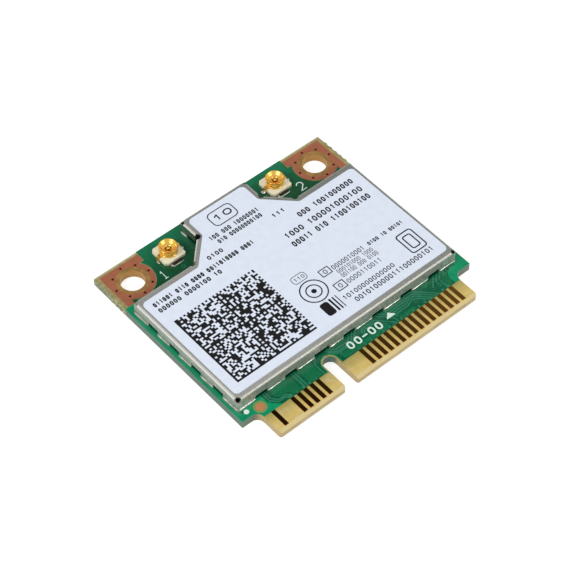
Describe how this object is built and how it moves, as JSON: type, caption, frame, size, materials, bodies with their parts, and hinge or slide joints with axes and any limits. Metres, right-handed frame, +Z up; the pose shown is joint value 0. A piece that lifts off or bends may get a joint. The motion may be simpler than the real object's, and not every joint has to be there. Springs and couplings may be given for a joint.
{
  "type": "mini pcie wifi card",
  "caption": "Half-size mini card radio module with an edge contact tongue, a folded shield can under a label, and two push-fit antenna sockets.",
  "frame": {"origin": "middle of the underside of the card's bounding box, where the card lies on a flat surface", "axes": "+X across the card towards the second antenna socket, +Y from the contact tip to the mounting holes, +Z up out of the component side"},
  "size_m": [0.0298, 0.0266, 0.0026],
  "materials": {
    "laminate": "satin glass-fibre laminate",
    "solder_mask": "glossy green solder mask",
    "bare_copper": "matte coated copper",
    "contact_gold": "polished hard gold plate",
    "can_metal": "satin tinned steel",
    "solder": "bright solder",
    "label_film": "matte printed film",
    "socket_plastic": "moulded cream plastic",
    "socket_gold": "bright gold plate",
    "chip_black": "matte moulding compound",
    "part_ceramic": "matte ceramic",
    "coil_grey": "matte ferrite"
  },
  "bodies": {
    "root": {"circuit_board": "laminate", "top_solder_mask": "solder_mask", "bottom_solder_mask": "solder_mask", "left_corner_pad": "bare_copper", "right_corner_pad": "bare_copper", "bottom_corner_pads": "bare_copper", "corner_via_liners": "bare_copper", "top_contacts": "contact_gold", "bottom_contacts": "contact_gold", "alignment_disc": "bare_copper", "test_pads": "bare_copper", "component_lands": "bare_copper", "shield_lands": "bare_copper", "socket_lands": "bare_copper", "shield_can": "can_metal", "shield_solder": "solder", "socket_solder": "solder", "label": "label_film", "left_socket_base": "socket_plastic", "left_socket_shell": "socket_gold", "left_socket_pin": "socket_gold", "right_socket_base": "socket_plastic", "right_socket_shell": "socket_gold", "right_socket_pin": "socket_gold", "radio_chip": "chip_black", "left_amplifier": "chip_black", "right_amplifier": "chip_black", "antenna_filters": "part_ceramic", "power_chip": "chip_black", "memory_chip": "chip_black", "crystal": "can_metal", "power_inductors": "coil_grey", "capacitors": "part_ceramic", "resistors": "chip_black"}
  },
  "joints": []
}
